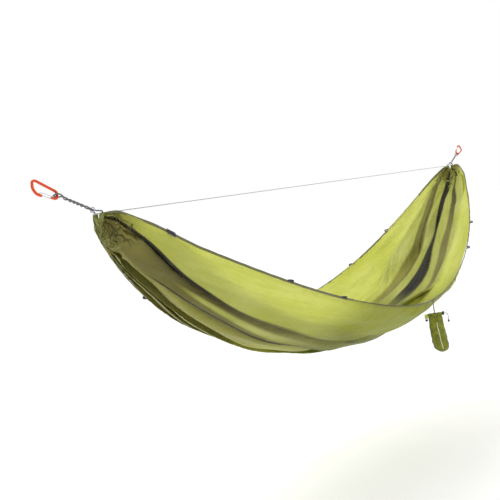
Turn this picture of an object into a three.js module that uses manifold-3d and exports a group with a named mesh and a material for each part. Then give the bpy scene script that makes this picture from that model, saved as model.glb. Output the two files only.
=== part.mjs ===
// Gathered-end travel hammock, hung between two anchors, with its stuff sack hanging from one edge.
// Millimetres, +Z up. The origin is the seat of the left anchor, inside the left carabiner's outer
// end; +X runs level to the right anchor and -Y is the side that the stuff sack hangs on.
import * as THREE from 'three';
import { mergeVertices } from 'three/addons/utils/BufferGeometryUtils.js';
import Module from 'manifold-3d';

// ---- driving dimensions ----
const GAP = 0.4; // space left between pieces that touch

const RIDGE = 2880; // gather to gather
const HANG_ANGLE = THREE.MathUtils.degToRad(21.4); // suspension below the level
const CARABINER_SPAN = 78; // anchor seat to rope seat
const ROPE_REACH = 150; // rope seat to gather

const NEAR = { width: 344, sag: 514, fullness: 1.76, spread: 0.61 }; // long edge on the sack's side
const FAR = { width: 390, sag: 524, fullness: 2.28, spread: 0.67 }; // the other long edge
const BELLY_DEPTH = 143; // lowest fabric below the edges, at mid length
const BELLY_SPREAD = 0.3;
const BELLY_ROUNDNESS = 1.27;
const WAIST = 0.3; // how far the sides pull in below the edges
const CLOTH = 6; // folded fabric, as a solid shell
const BINDING_RADIUS = 3;
const EDGE_TRIM = 5.4; // the shell stops this far short of the edge, inside the binding's fold

const CHANNEL = { offset: 5, outer: 8, bore: 3 }; // sewn end channel that the rope gathers
const ROPE_RADIUS = 2;
const ROPE_TURNS = 3;
const RIDGELINE_RADIUS = 1.25;

const BAR = { across: 6.4, thick: 7 }; // carabiner bar
const CARABINER_ROLL = THREE.MathUtils.degToRad(14);
const GATE_WIRE = 0.9;
const GATE_PIVOT = new THREE.Vector2(63.5, 13.2);

const LOOP_STATIONS = { near: [0.187, 0.272], far: [0.15, 0.255] }; // gear loops, from each end
const LABEL = { station: 0.05, long: 24, tall: 14, thick: 1.2 };

const STRAP = { wide: 9, thick: 1.6, long: 46 };
const SACK = { long: 152, wall: 1.6, bend: 13, collar: 10, collarWide: 27.5, collarDeep: 10, band: 4 };
const SACK_TURN = THREE.MathUtils.degToRad(-58); // the sack hangs half turned on its strap
const DRAWCORD_RADIUS = 1;
const LOCK = { radius: 4.2, tall: 12, pocket: 3.1, plunger: 2.7, press: 2 };

// ---- derived places ----
const GATHER_X = (CARABINER_SPAN + ROPE_REACH) * Math.cos(HANG_ANGLE);
const GATHER_Z = -(CARABINER_SPAN + ROPE_REACH) * Math.sin(HANG_ANGLE);
const MIDDLE_X = GATHER_X + RIDGE / 2;
const BED_START = (CHANNEL.offset + CHANNEL.outer + GAP) / RIDGE;

const wasm = await Module();
wasm.setup();

const model = new THREE.Group();

// ---- materials ----
const matte = (color, roughness, metalness = 0) =>
  new THREE.MeshStandardMaterial({ color, roughness, metalness });
const ripstop = matte(0xa3ab3f, 0.5);
const edging = matte(0x3a3a16, 0.7);
const greyCord = matte(0x6f6f72, 0.75);
const paleCord = matte(0x9a9a9c, 0.75);
const anodised = matte(0xd9531e, 0.35, 0.9);
const steel = matte(0xb9bcc0, 0.3, 1);
const blackWeb = matte(0x17181a, 0.8);
const blackPlastic = matte(0x1b1c1f, 0.45);
const reflective = matte(0xd2d68c, 0.4);
const sackCloth = matte(0x7f8a2c, 0.55);

// ---- helpers ----
const v3 = (x, y, z) => new THREE.Vector3(x, y, z);

function part(name, geometry, material, parent = model) {
  const mesh = new THREE.Mesh(geometry, material);
  mesh.name = name;
  parent.add(mesh);
  return mesh;
}

function groupAt(position, parent = model) {
  const group = new THREE.Group();
  group.position.copy(position);
  parent.add(group);
  return group;
}

const mirrorX = (point) => v3(2 * MIDDLE_X - point.x, point.y, point.z);

function circle(radius, sides) {
  const corners = [];
  for (let k = 0; k < sides; k += 1) {
    const angle = (2 * Math.PI * k) / sides;
    corners.push(new THREE.Vector2(radius * Math.cos(angle), radius * Math.sin(angle)));
  }
  return corners;
}

function tube(points, radius, sides, steps, bore = 0) {
  const section = new THREE.Shape(circle(radius, sides));
  if (bore > 0) section.holes.push(new THREE.Path(circle(bore, sides)));
  const extrudePath = new THREE.CatmullRomCurve3(points, false, 'centripetal');
  return new THREE.ExtrudeGeometry(section, { steps, extrudePath, bevelEnabled: false });
}

function closedTube(points, radius, sides, steps) {
  const path = new THREE.CatmullRomCurve3(points, true, 'centripetal');
  return new THREE.TubeGeometry(path, steps, radius, sides, true);
}

// Skin over a row of rings with equal point counts. A fan closes a round end; a ladder closes the
// end of a folded strip, whose point k lies across from the last point but k.
function loft(rings, ends) {
  const count = rings[0].length;
  const points = rings.flat();
  const faces = [];
  for (let r = 0; r + 1 < rings.length; r += 1) {
    for (let k = 0; k < count; k += 1) {
      const a = r * count + k;
      const b = r * count + ((k + 1) % count);
      faces.push(a, b, b + count, a, b + count, a + count);
    }
  }
  const last = (rings.length - 1) * count;
  if (ends === 'fan') {
    const centre = (ring) => ring.reduce((sum, p) => sum.add(p), v3(0, 0, 0)).divideScalar(count);
    points.push(centre(rings[0]), centre(rings[rings.length - 1]));
    for (let k = 0; k < count; k += 1) {
      const next = (k + 1) % count;
      faces.push(points.length - 2, next, k, points.length - 1, last + k, last + next);
    }
  } else {
    for (let k = 0; k < count / 2 - 1; k += 1) {
      const m = count - 1 - k;
      faces.push(k, m, k + 1, k + 1, m, m - 1);
      faces.push(last + k, last + k + 1, last + m, last + k + 1, last + m - 1, last + m);
    }
  }
  return outward(points, faces);
}

// Geometry with its faces turned so that the enclosed volume is positive.
function outward(points, faces) {
  let volume = 0;
  for (let f = 0; f < faces.length; f += 3) {
    const [a, b, c] = [points[faces[f]], points[faces[f + 1]], points[faces[f + 2]]];
    volume += a.dot(v3(0, 0, 0).crossVectors(b, c));
  }
  const geometry = new THREE.BufferGeometry().setFromPoints(points);
  geometry.setIndex(volume > 0 ? faces : faces.slice().reverse());
  return geometry;
}

function solid(geometry) {
  const bare = geometry.clone();
  bare.deleteAttribute('normal');
  bare.deleteAttribute('uv');
  const merged = mergeVertices(bare, 1e-4);
  const vertProperties = new Float32Array(merged.attributes.position.array);
  const triVerts = new Uint32Array(merged.index.array);
  return new wasm.Manifold(new wasm.Mesh({ numProp: 3, vertProperties, triVerts }));
}

function cut(body, ...tools) {
  const result = tools.reduce((left, tool) => left.subtract(solid(tool)), solid(body));
  const mesh = result.getMesh();
  const geometry = new THREE.BufferGeometry();
  geometry.setAttribute('position', new THREE.BufferAttribute(mesh.vertProperties, 3));
  geometry.setIndex(new THREE.BufferAttribute(mesh.triVerts, 1));
  return geometry;
}

function slab(wide, deep, tall, centre) {
  return new THREE.BoxGeometry(wide, deep, tall).translate(centre.x, centre.y, centre.z);
}

// ---- bed fabric ----
// station runs 0 to 1 from the left gather to the right; across runs -1 to 1, near edge to far.
function edgeDrop(edge, station) {
  return edge.sag * (1 - Math.abs(2 * station - 1) ** edge.fullness);
}

function bedPoint(station, across) {
  const open = Math.sin(Math.PI * station);
  const share = (across + 1) / 2;
  const drop = edgeDrop(NEAR, station) * (1 - share) + edgeDrop(FAR, station) * share;
  const edge = across < 0 ? NEAR : FAR;
  const width = edge.width * open ** edge.spread;
  const belly = Math.max(Math.cos((across * Math.PI) / 2), 0) ** BELLY_ROUNDNESS;
  const y = Math.sin((across * Math.PI) / 2) * width * (1 - WAIST * belly);
  const z = -drop - BELLY_DEPTH * open ** BELLY_SPREAD * belly;
  return v3(GATHER_X + RIDGE * station, y, GATHER_Z + z);
}

// Evenly spaced points across the fabric at one station, with both ends cut short by trim.
function bedSection(station, trim, count) {
  const samples = 120;
  const line = [];
  for (let k = 0; k <= samples; k += 1) line.push(bedPoint(station, -1 + (2 * k) / samples));
  const path = new THREE.CatmullRomCurve3(line, false, 'centripetal');
  path.arcLengthDivisions = samples;
  const length = path.getLength();
  const points = [];
  for (let k = 0; k < count; k += 1) {
    points.push(path.getPointAt((trim + ((length - 2 * trim) * k) / (count - 1)) / length));
  }
  return points;
}

// Stations crowd together towards the gathers, where the fabric turns fastest.
function stations(count) {
  const list = [];
  for (let k = 0; k <= count; k += 1) {
    list.push(BED_START + (1 - 2 * BED_START) * (0.5 - 0.5 * Math.cos((Math.PI * k) / count)));
  }
  return list;
}

function bedShell() {
  const count = 15;
  const rings = stations(32).map((station) => {
    const middle = bedSection(station, EDGE_TRIM, count);
    const inner = [];
    const outer = [];
    middle.forEach((point, k) => {
      const before = middle[Math.max(k - 1, 0)];
      const after = middle[Math.min(k + 1, count - 1)];
      const along = v3(0, after.y - before.y, after.z - before.z).normalize();
      const up = v3(0, -along.z, along.y).multiplyScalar(CLOTH / 2);
      inner.push(point.clone().add(up));
      outer.push(point.clone().sub(up));
    });
    return outer.concat(inner.reverse());
  });
  return loft(rings, 'ladder');
}

const edgeLine = (across) => stations(40).map((station) => bedPoint(station, across));

part('bed', bedShell(), ripstop);
part('near_edge_binding', tube(edgeLine(-1), BINDING_RADIUS, 6, 44), edging);
part('far_edge_binding', tube(edgeLine(1), BINDING_RADIUS, 6, 44), edging);

// ---- end channels and suspension loops ----
const channelStation = CHANNEL.offset / RIDGE;
const channelLine = bedSection(channelStation, 2, 13);

// Directions of the left suspension: along the pull, towards the gate, and out of the carabiner.
const pull = v3(Math.cos(HANG_ANGLE), 0, -Math.sin(HANG_ANGLE));
const rise = v3(Math.sin(HANG_ANGLE), 0, Math.cos(HANG_ANGLE));
const gateSide = rise.clone().multiplyScalar(-Math.cos(CARABINER_ROLL));
gateSide.add(v3(0, -Math.sin(CARABINER_ROLL), 0));
const faceOut = v3(0, 0, 0).crossVectors(pull, gateSide);
const ropeSeat = pull.clone().multiplyScalar(CARABINER_SPAN);

function ropeLoop() {
  const eyeHalf = 8.4;
  const eyeEnd = 12;
  const twistStart = 34;
  const twistEnd = ROPE_REACH - 20;
  const twistRadius = ROPE_RADIUS + 0.35;
  const eyeAngle = Math.atan2(faceOut.dot(rise), faceOut.y);
  const place = (along, radius, angle) =>
    ropeSeat
      .clone()
      .addScaledVector(pull, along)
      .add(v3(0, radius * Math.cos(angle), 0))
      .addScaledVector(rise, radius * Math.sin(angle));
  const strand = (side) => {
    const points = [];
    const turned = ROPE_TURNS * 2 * Math.PI;
    const finish = side > 0 ? 0 : Math.PI;
    const start = eyeAngle + (side > 0 ? 0 : Math.PI);
    const sweep = finish + turned - start;
    for (let along = eyeEnd; along <= twistEnd + 0.1; along += (twistEnd - eyeEnd) / 30) {
      const closing = THREE.MathUtils.smoothstep(along, eyeEnd, twistStart);
      const radius = THREE.MathUtils.lerp(eyeHalf, twistRadius, closing);
      const share = THREE.MathUtils.smoothstep(along, eyeEnd - 4, twistEnd);
      points.push(place(along, radius, start + sweep * share));
    }
    return points;
  };
  const eye = (across, along) =>
    ropeSeat.clone().addScaledVector(pull, along).addScaledVector(faceOut, across);
  const inset = -(ROPE_RADIUS + 2 * GAP);
  const farStrand = strand(1);
  const nearStrand = strand(-1);
  const legs = (end, next, side) => {
    const lead = end.clone().addScaledVector(next.clone().sub(end).normalize(), -4.5);
    const middle = v3(GATHER_X - 8, side * 6, GATHER_Z + 3);
    return [middle, lead];
  };
  const last = channelLine.length - 1;
  const nearLegs = legs(channelLine[0], channelLine[1], -1);
  const farLegs = legs(channelLine[last], channelLine[last - 1], 1);
  return [
    eye(0, inset), eye(4.3, inset), eye(7.4, inset + 1.5), eye(8.6, 3), ...farStrand,
    ...farLegs, ...channelLine.slice().reverse(), ...nearLegs.reverse(),
    ...nearStrand.reverse(), eye(-8.6, 3), eye(-7.4, inset + 1.5), eye(-4.3, inset),
  ];
}

const ropePoints = ropeLoop();
for (const [side, flip] of [['left', (p) => p.clone()], ['right', mirrorX]]) {
  const path = channelLine.map(flip);
  part(`${side}_end_channel`, tube(path, CHANNEL.outer, 10, 14, CHANNEL.bore), ripstop);
  part(`${side}_rope_loop`, closedTube(ropePoints.map(flip), ROPE_RADIUS, 6, 120), greyCord);
}

// ---- structural ridgeline: a small ring of cord round each rope, a knot, and the line ----
const ringAt = ropeSeat.clone().addScaledVector(pull, ROPE_REACH - 16);
const ringRadius = 7.1;
const knotRadius = 3;
const knotAt = v3(ringAt.x + 3.6, 0, ringAt.z - ringRadius - 4.6);
for (const [side, flip] of [['left', (p) => p.clone()], ['right', mirrorX]]) {
  const ring = [];
  for (let k = 0; k < 12; k += 1) {
    const angle = (k * Math.PI) / 6;
    const point = ringAt.clone().add(v3(0, ringRadius * Math.cos(angle), 0));
    ring.push(flip(point.addScaledVector(rise, ringRadius * Math.sin(angle))));
  }
  part(`${side}_ridgeline_ring`, closedTube(ring, RIDGELINE_RADIUS, 6, 18), paleCord);
  const knot = new THREE.SphereGeometry(knotRadius, 10, 6).translate(...flip(knotAt).toArray());
  part(`${side}_ridgeline_knot`, knot, paleCord);
}
const lineStart = v3(knotAt.x + knotRadius + GAP, 0, knotAt.z);
part('ridgeline', tube([lineStart, mirrorX(lineStart)], RIDGELINE_RADIUS, 8, 4), paleCord);

// ---- gear loops and label along the long edges ----
function gearLoop(station, across) {
  const base = bedPoint(station, across);
  const step = 0.004;
  const along = bedPoint(station + step, across).sub(bedPoint(station - step, across)).normalize();
  const out = v3(0, Math.sign(across), 0);
  const wire = 1;
  const lift = BINDING_RADIUS + GAP + wire + 0.2;
  const at = (x, y) => base.clone().addScaledVector(along, x).addScaledVector(out, lift + y);
  const arch = [[-7.5, 0], [-7.8, 4], [-6, 8.5], [0, 10.5], [6, 8.5], [7.8, 4], [7.5, 0]];
  return tube(arch.map(([x, y]) => at(x, y)), wire, 6, 9);
}

for (const [edge, across] of [['near', -1], ['far', 1]]) {
  LOOP_STATIONS[edge].forEach((station, k) => {
    part(`${edge}_left_gear_loop_${k + 1}`, gearLoop(station, across), blackWeb);
    part(`${edge}_right_gear_loop_${k + 1}`, gearLoop(1 - station, across), blackWeb);
  });
}

function edgeLabel() {
  const reach = LABEL.long / 2 / RIDGE;
  const half = LABEL.thick / 2;
  const side = v3(0, -(BINDING_RADIUS + 2 * GAP + half), 0);
  const rings = [-1, 1].map((end) => {
    const point = bedPoint(LABEL.station + end * reach, -1).add(side);
    const corner = (y, z) => point.clone().add(v3(0, y, z));
    return [corner(-half, 3), corner(-half, 3 - LABEL.tall), corner(half, 3 - LABEL.tall), corner(half, 3)];
  });
  return loft(rings, 'ladder');
}
part('edge_label', edgeLabel(), blackWeb);

// ---- carabiners: a flat-sided bar bent into an offset D, and a sprung wire gate ----
// In the carabiner's own plane, x runs from the anchor seat to the rope seat and y to the gate.
function barLine() {
  const half = BAR.across / 2;
  const inner = CARABINER_SPAN + half;
  const line = new THREE.Path();
  line.moveTo(59.5, 13.2);
  line.lineTo(67, 13.2);
  line.bezierCurveTo(75, 13.2, inner, 10, inner, 4);
  line.lineTo(inner, -4);
  line.bezierCurveTo(inner, -9, 76, -9.4, 69, -10);
  line.lineTo(13, -15);
  line.bezierCurveTo(3, -15.8, -half, -12, -half, -4);
  line.lineTo(-half, 4);
  line.bezierCurveTo(-half, 10, 5, 20.5, 17, 20.5);
  line.lineTo(28, 19.8);
  return line;
}

function carabinerBar() {
  const half = BAR.across / 2;
  const left = [];
  const right = [];
  barLine().curves.forEach((curve, index) => {
    const steps = curve.type === 'LineCurve' ? 1 : 8;
    for (let k = index === 0 ? 0 : 1; k <= steps; k += 1) {
      const point = curve.getPoint(k / steps);
      const along = curve.getTangent(k / steps);
      const across = new THREE.Vector2(-along.y, along.x).multiplyScalar(half);
      left.push(point.clone().add(across));
      right.push(point.clone().sub(across));
    }
  });
  const outline = new THREE.Shape(left.concat(right.reverse()));
  const pinHole = circle(GATE_WIRE + 0.6, 10).map((corner) => corner.add(GATE_PIVOT));
  outline.holes.push(new THREE.Path(pinHole));
  const bar = new THREE.ExtrudeGeometry(outline, { depth: BAR.thick, bevelEnabled: false });
  return bar.translate(0, 0, -BAR.thick / 2);
}

function gateWire() {
  const side = BAR.thick / 2 + GATE_WIRE + 0.9;
  const { x, y } = GATE_PIVOT;
  const half = [
    v3(x, y, 1.8), v3(x, y, side - 0.9), v3(x - 0.6, y, side - 0.2), v3(x - 2, y + 0.1, side),
    v3(45, 14.2, side), v3(25, 15.2, side), v3(19.6, 15.5, side - 1.6),
  ];
  const otherHalf = half.map((point) => v3(point.x, point.y, -point.z)).reverse();
  return tube([...half, v3(18.4, 15.6, 0), ...otherHalf], GATE_WIRE, 6, 36);
}

// The right carabiner hangs the other way up: its gate faces up and away from the sack's side.
function carabiner(side, seat, along, gateWay) {
  const frame = groupAt(seat);
  const outOfPlane = v3(0, 0, 0).crossVectors(along, gateWay);
  frame.setRotationFromMatrix(new THREE.Matrix4().makeBasis(along, gateWay, outOfPlane));
  part(`${side}_carabiner_body`, carabinerBar(), anodised, frame);
  part(`${side}_carabiner_gate`, gateWire(), steel, frame);
}
carabiner('left', v3(0, 0, 0), pull, gateSide);
const pullBack = v3(-pull.x, 0, pull.z);
const gateAbove = v3(gateSide.x, -gateSide.y, -gateSide.z);
carabiner('right', v3(2 * MIDDLE_X, 0, 0), pullBack, gateAbove);

// ---- stuff sack, hung by a strap from the middle of the near edge ----
const sackPivot = bedPoint(0.5, -1);
const sackTop = -(BINDING_RADIUS + GAP + STRAP.long + GAP);
const strapFrame = groupAt(sackPivot);

// The strap's lower end is round about the sack's side swing, so that it turns clear of the collar.
function strap() {
  const half = STRAP.wide / 2;
  const top = -(BINDING_RADIUS + GAP);
  const outline = new THREE.Shape();
  outline.moveTo(half, top);
  outline.lineTo(-half, top);
  outline.absarc(0, sackTop + GAP + half, half, Math.PI, 2 * Math.PI, false);
  const web = new THREE.ExtrudeGeometry(outline, {
    depth: STRAP.thick, bevelEnabled: false, curveSegments: 8,
  });
  return web.translate(0, 0, -STRAP.thick / 2).rotateX(Math.PI / 2).translate(0, -1, 0);
}
part('sack_strap', strap(), edging, strapFrame);

// The strap meets the back of the mouth, so the sack's own middle lies in front of it.
const mouthBack = v3(0, SACK.collarDeep - SACK.band / 2, 0).applyAxisAngle(v3(0, 0, 1), SACK_TURN);
const sack = groupAt(v3(0, 0, sackTop).sub(mouthBack), strapFrame);
sack.rotation.z = SACK_TURN;

function ellipse(halfWide, halfDeep, sides) {
  return circle(1, sides).map((corner) => new THREE.Vector2(corner.x * halfWide, corner.y * halfDeep));
}

// Half width and half depth of the sack, at even steps from its mouth to its closed end.
const evenly = (values) =>
  new THREE.SplineCurve(values.map((half, k) => new THREE.Vector2(k / (values.length - 1), half)));
const sackWidth = evenly([25, 26, 28, 28.5, 24]);
const sackDepth = evenly([9, 15, 19.5, 21, 18]);

function sackRing(share, shrink, sides) {
  const roundEnd = Math.sqrt(Math.max(1 - Math.max((share - 0.84) / 0.16, 0) ** 2, 0));
  const halfWide = Math.max(sackWidth.getPoint(share).y * roundEnd - shrink, 1.5);
  const halfDeep = Math.max(sackDepth.getPoint(share).y * roundEnd - shrink, 1.5);
  const height = -SACK.collar - GAP - share * (SACK.long - SACK.collar - GAP);
  const lifted = height + (share > 0.5 ? shrink : 0);
  const bent = SACK.bend * share ** 2;
  return ellipse(halfWide, halfDeep, sides).map((corner) => v3(corner.x + bent, corner.y, lifted));
}

function sackBody() {
  const shares = [0, 0.15, 0.32, 0.5, 0.68, 0.84, 0.92, 0.97, 1];
  const sides = 18;
  const inside = shares.map((share) => sackRing(share, SACK.wall, sides)).reverse();
  const outside = shares.map((share) => sackRing(share, 0, sides));
  return loft([...inside, ...outside], 'fan');
}

function collar() {
  const outline = new THREE.Shape(ellipse(SACK.collarWide, SACK.collarDeep, 24));
  const mouth = ellipse(SACK.collarWide - SACK.band, SACK.collarDeep - SACK.band, 24);
  outline.holes.push(new THREE.Path(mouth));
  const band = new THREE.ExtrudeGeometry(outline, { depth: SACK.collar, bevelEnabled: false });
  band.translate(0, 0, -SACK.collar);
  const room = DRAWCORD_RADIUS + 0.5;
  const outlet = new THREE.CylinderGeometry(room, room, 12, 10).rotateZ(Math.PI / 2);
  outlet.translate(SACK.collarWide + 4.2, 0, cordHeight);
  return cut(band, closedTube(cordRing, room, 6, 28), outlet);
}

const cordHeight = -SACK.collar / 2;
const cordRing = ellipse(SACK.collarWide - SACK.band / 2, SACK.collarDeep - SACK.band / 2, 20)
  .map((corner) => v3(corner.x, corner.y, cordHeight));

part('sack_body', sackBody(), sackCloth, sack);
part('sack_collar', collar(), sackCloth, sack);
part('sack_drawcord', closedTube(cordRing, DRAWCORD_RADIUS, 6, 28), blackWeb, sack);

// Seam piping down one side of the sack, round its closed end and up the other side.
function piping() {
  const lift = 1 + GAP + 0.3;
  const shares = [0.06, 0.3, 0.5, 0.68, 0.84, 0.92, 0.97];
  const down = (corner, out) => shares.map((share) => {
    const { x, z } = sackRing(share, 0, 4)[corner];
    return v3(x + out * lift, 0, z - (share > 0.84 ? lift * (share - 0.84) * 6 : 0));
  });
  const bottom = v3(SACK.bend, 0, -SACK.long - lift - 0.3);
  return tube([...down(0, 1), bottom, ...down(2, -1).reverse()], 1, 6, 32);
}
part('sack_piping', piping(), blackWeb, sack);

function stripe() {
  const rings = [0.2, 0.32, 0.5, 0.68, 0.84, 0.9].map((share) => {
    const front = sackRing(share, 0, 4)[3];
    const back = front.y - GAP;
    const [left, right] = [front.x - 1.5, front.x + 1.5];
    return [v3(left, back - 0.8, front.z), v3(right, back - 0.8, front.z), v3(right, back, front.z),
      v3(left, back, front.z)];
  });
  return loft(rings, 'ladder');
}
part('sack_reflective_stripe', stripe(), reflective, sack);

const earSide = -(SACK.collarWide + GAP + 6.5);
part('sack_ear_tab', slab(13, 1.6, 18, v3(earSide, 0, -9.5)), ripstop, sack);
part('sack_pull_tab', slab(10, 2, 8, v3(earSide, 0, -24)), blackPlastic, sack);

// ---- drawcord tail with its sprung cord lock and moulded end ----
const lockCentre = SACK.collarWide + GAP + LOCK.radius;

function lockBody() {
  const barrel = new THREE.CylinderGeometry(LOCK.radius, LOCK.radius, LOCK.tall, 16);
  const pocket = new THREE.CylinderGeometry(LOCK.pocket, LOCK.pocket, LOCK.tall, 14);
  pocket.translate(0, 1.4, 0);
  const bore = new THREE.CylinderGeometry(1.5, 1.5, 4 * LOCK.radius, 10).rotateZ(Math.PI / 2);
  return cut(barrel, pocket, bore).rotateX(Math.PI / 2).translate(lockCentre, 0, cordHeight);
}

// The plunger's slot is taller than the cord, so that a press frees the cord.
function lockPlunger() {
  const tall = 9.4;
  const stem = new THREE.CylinderGeometry(LOCK.plunger, LOCK.plunger, tall, 12);
  stem.translate(0, 3.6, 0);
  const slot = new THREE.BoxGeometry(12, 2.8 + LOCK.press, 2.8).translate(0, LOCK.press / 2, 0);
  return cut(stem, slot).rotateX(Math.PI / 2).translate(lockCentre, 0, cordHeight);
}

function lockSpring() {
  const turns = 2.5;
  const bottom = cordHeight - LOCK.tall / 2 + 1.4 + 0.7;
  const points = [];
  for (let k = 0; k <= turns * 8; k += 1) {
    const angle = (k * Math.PI) / 4;
    points.push(v3(lockCentre + 2 * Math.cos(angle), 2 * Math.sin(angle), bottom + 0.1 * k));
  }
  return tube(points, 0.25, 4, 20);
}

part('cord_lock_body', lockBody(), blackPlastic, sack);
part('cord_lock_plunger', lockPlunger(), blackPlastic, sack);
part('cord_lock_spring', lockSpring(), steel, sack);

// The tail leaves the collar straight through the lock and then droops.
const tailRoute = [
  [26.9, 0], [29, 0], [31, 0], [33, 0], [35, 0], [37, 0], [39, 0], [41, -0.2], [43.4, -0.9],
  [45.6, -2.2], [47.4, -4], [48.8, -6.3], [49.6, -9], [50, -12], [50.1, -15], [50.1, -18], [50, -21],
  [50, -24], [50, -26.5],
].map(([x, z]) => v3(x, 0, cordHeight + z));
part('sack_cord_tail', tube(tailRoute, DRAWCORD_RADIUS, 8, 20), blackWeb, sack);

const tailEnd = tailRoute[tailRoute.length - 1];
const endProfile = [[0, -0.4], [2, -0.4], [4.2, -3.2], [3.6, -5], [1.3, -11], [0, -11.6]]
  .map(([radius, z]) => new THREE.Vector2(radius, z)).reverse();
const cordEnd = new THREE.LatheGeometry(endProfile, 12).rotateX(Math.PI / 2);
part('sack_cord_end', cordEnd.translate(tailEnd.x, tailEnd.y, tailEnd.z), blackPlastic, sack);

export default model;
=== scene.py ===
"""Looks of the gathered-end travel hammock, in metres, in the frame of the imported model."""

from math import cos, pi, radians, sin

import bpy
import numpy as np
from mathutils import Matrix, Vector


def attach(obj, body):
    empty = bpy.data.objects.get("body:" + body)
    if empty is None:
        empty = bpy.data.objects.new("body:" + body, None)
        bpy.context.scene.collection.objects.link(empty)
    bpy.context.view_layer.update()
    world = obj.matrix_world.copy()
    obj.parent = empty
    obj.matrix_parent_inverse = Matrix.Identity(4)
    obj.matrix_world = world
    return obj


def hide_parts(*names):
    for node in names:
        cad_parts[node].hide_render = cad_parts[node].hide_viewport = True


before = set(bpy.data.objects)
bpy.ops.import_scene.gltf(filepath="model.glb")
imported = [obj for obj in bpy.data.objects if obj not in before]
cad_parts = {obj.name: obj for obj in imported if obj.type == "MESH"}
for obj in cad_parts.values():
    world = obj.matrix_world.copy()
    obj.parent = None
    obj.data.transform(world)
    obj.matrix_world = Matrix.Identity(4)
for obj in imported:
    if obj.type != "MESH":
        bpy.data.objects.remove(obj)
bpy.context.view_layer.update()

# ---- design dimensions, in metres ----
GATHER_X, GATHER_Z = 0.21228, -0.08319    # where the left end's cloth is gathered
RIDGE = 2.88                              # from gather to gather
ANCHOR_SPAN = 3.304561                    # between the carabiners' outer seats
HANG_ANGLE = radians(21.4)                # of each rope, below level
CARABINER_ROLL = radians(14)
CARABINER_SPAN = 0.078
ROPE_REACH = 0.150
NEAR = {"width": 0.344, "sag": 0.514, "fullness": 1.76, "spread": 0.61}
FAR = {"width": 0.390, "sag": 0.524, "fullness": 2.28, "spread": 0.67}
BELLY = 0.143                             # how far the cloth hangs below its two edges
FLAT_CLOTH = (1.48, 3.25)
ROPE_RADIUS = 0.002
SACK_PIVOT = (1.652281, -0.344, -0.597192)
SACK_TOP = (1.645497, -0.348239, -0.646992)
SACK_TURN = radians(-58)
SACK_BEND = 0.013
COLLAR_WIDE, COLLAR_DEEP, COLLAR_TALL = 0.0275, 0.010, 0.010


def add_object(name, data):
    obj = bpy.data.objects.new(name, data)
    bpy.context.scene.collection.objects.link(obj)
    return obj


# ---- camera ----
def add_camera():
    yaw, pitch, roll = 0.5589, -0.0601, -0.144
    forward = Vector((cos(yaw) * cos(pitch), sin(yaw) * cos(pitch), sin(pitch)))
    level = Vector((sin(yaw), -cos(yaw), 0))
    upright = level.cross(forward)
    right = cos(roll) * level + sin(roll) * upright
    above = cos(roll) * upright - sin(roll) * level
    data = bpy.data.cameras.new("camera")
    data.sensor_width = 36
    data.lens = 62.73
    data.clip_end = 200
    camera = add_object("camera", data)
    place = Matrix((right, above, -forward)).transposed().to_4x4()
    place.translation = Vector((GATHER_X - 1.7468, -1.5471, GATHER_Z - 0.0200))
    camera.matrix_world = place
    bpy.context.scene.camera = camera


add_camera()


# ---- mesh helpers ----
def unit(vectors):
    vectors = np.asarray(vectors, float)
    return vectors / np.maximum(np.linalg.norm(vectors, axis=-1, keepdims=True), 1e-12)


def smoothstep(value, low, high):
    share = np.clip((value - low) / (high - low), 0, 1)
    return share * share * (3 - 2 * share)


def turns(count):
    """Angles evenly round one turn."""
    return np.linspace(0, 2 * pi, count, endpoint=False)


def running(steps):
    """Sums of the steps so far along each row, from 0."""
    return np.concatenate([np.zeros((len(steps), 1)), np.cumsum(steps, 1)], 1)


def averaged(values, size):
    """Values smoothed by a bell of that many samples, with their ends held."""
    bell = np.hanning(size)
    held = np.pad(values, size // 2, "edge")
    return np.convolve(held, bell / bell.sum(), "valid")


def mirror_x(points):
    points = np.array(points, float)
    points[..., 0] = ANCHOR_SPAN - points[..., 0]
    return points


def sack_place(points):
    """Points from the sack's own frame, at the middle of its mouth, put in the row frame."""
    x, y, z = np.moveaxis(np.asarray(points, float), -1, 0)
    turned = [x * cos(SACK_TURN) - y * sin(SACK_TURN), x * sin(SACK_TURN) + y * cos(SACK_TURN), z]
    return np.stack(turned, -1) + SACK_TOP


def add_mesh(name, vertices, faces, face_uvs=None, smooth=True):
    mesh = bpy.data.meshes.new(name)
    mesh.from_pydata(np.asarray(vertices, float).reshape(-1, 3).tolist(), [], faces)
    mesh.polygons.foreach_set("use_smooth", [smooth] * len(mesh.polygons))
    if face_uvs is not None:
        layer = mesh.uv_layers.new(name="uv")
        layer.data.foreach_set("uv", np.asarray(face_uvs, np.float32).ravel())
    mesh.update()
    return add_object(name, mesh)


def skin(name, grid, v, u=None, wrap=True, loop=False, caps=False):
    """Quads over a grid of points. wrap joins the last column to the first, loop the last row."""
    rows, cols = grid.shape[:2]
    uv = np.stack(np.meshgrid(np.linspace(0, 1, cols + 1) if u is None else u, v), -1)
    r, c = np.meshgrid(np.arange(rows - (not loop)), np.arange(cols - (not wrap)), indexing="ij")
    below, beside = (r + 1) % rows, (c + 1) % cols
    r0, r1 = r * cols, below * cols
    faces = np.stack([r0 + c, r0 + beside, r1 + beside, r1 + c], -1).reshape(-1, 4).tolist()
    uvs = np.stack([uv[r, c], uv[r, c + 1], uv[r + 1, c + 1], uv[r + 1, c]], -2).reshape(-1, 2)
    if caps:
        faces.append(list(range(cols))[::-1])
        faces.append([(rows - 1) * cols + k for k in range(cols)])
        uvs = np.concatenate([uvs, uv[0, :cols][::-1], uv[-1, :cols]])
    return add_mesh(name, grid, faces, uvs)


def picked(line, distances):
    """The points of a line at these distances along it."""
    total = lengths(line)
    return np.stack([np.interp(distances, total, line[:, k]) for k in range(3)], -1)


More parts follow.
